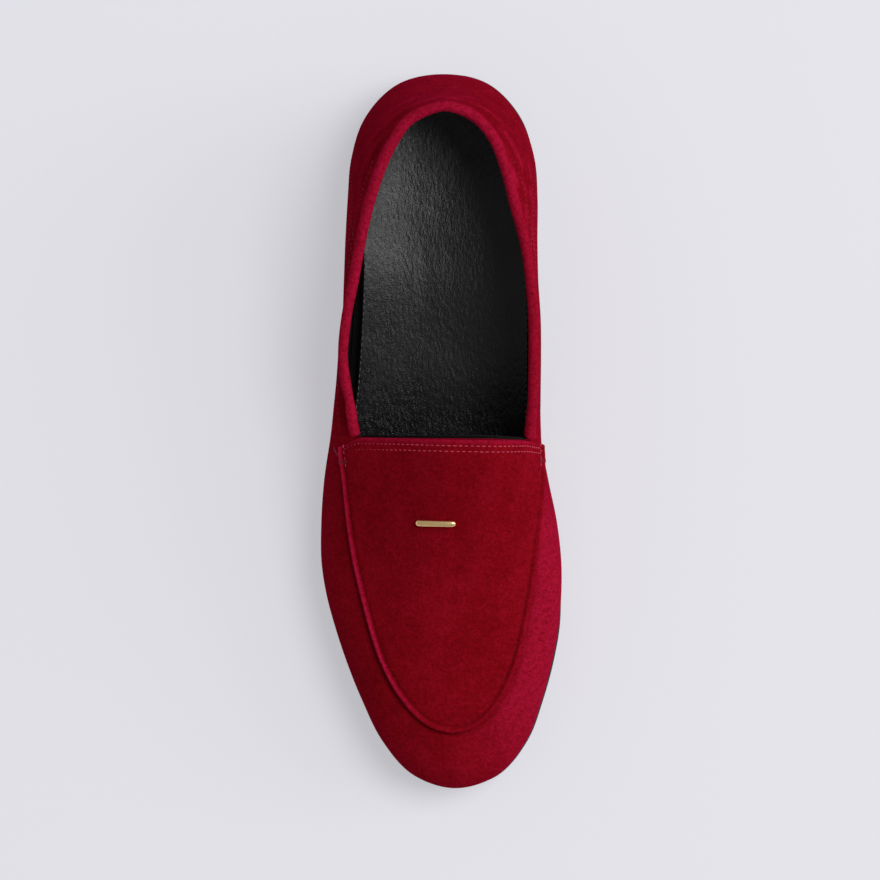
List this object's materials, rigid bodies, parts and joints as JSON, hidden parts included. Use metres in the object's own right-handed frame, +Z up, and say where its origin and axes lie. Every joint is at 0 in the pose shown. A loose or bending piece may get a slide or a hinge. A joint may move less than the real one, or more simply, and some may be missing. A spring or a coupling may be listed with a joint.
{
  "type": "suede loafer",
  "caption": "Slip-on suede loafer for the right foot: round moc-style apron with a raised seam, rolled collar, slim leather sole and low stacked heel.",
  "frame": {"origin": "on the floor under the middle of the shoe's bounding box", "axes": "+X towards the inner (big toe) side, +Y towards the heel, -Y towards the toe, +Z up"},
  "size_m": [0.1, 0.296, 0.086],
  "materials": {
    "sole_black": "black painted leather sole and edge, satin",
    "heel_black": "black painted stacked leather, satin",
    "lift": "dark brown lift, matt",
    "sock_leather": "black grained leather, semi-matt",
    "suede": "crimson suede with a short nap",
    "gold": "polished gold plate"
  },
  "bodies": {
    "root": {"outsole": "sole_black", "heel_stack": "heel_black", "top_lift": "lift", "insole": "sock_leather", "upper": "suede", "apron": "suede", "ornament": "gold"}
  },
  "joints": []
}
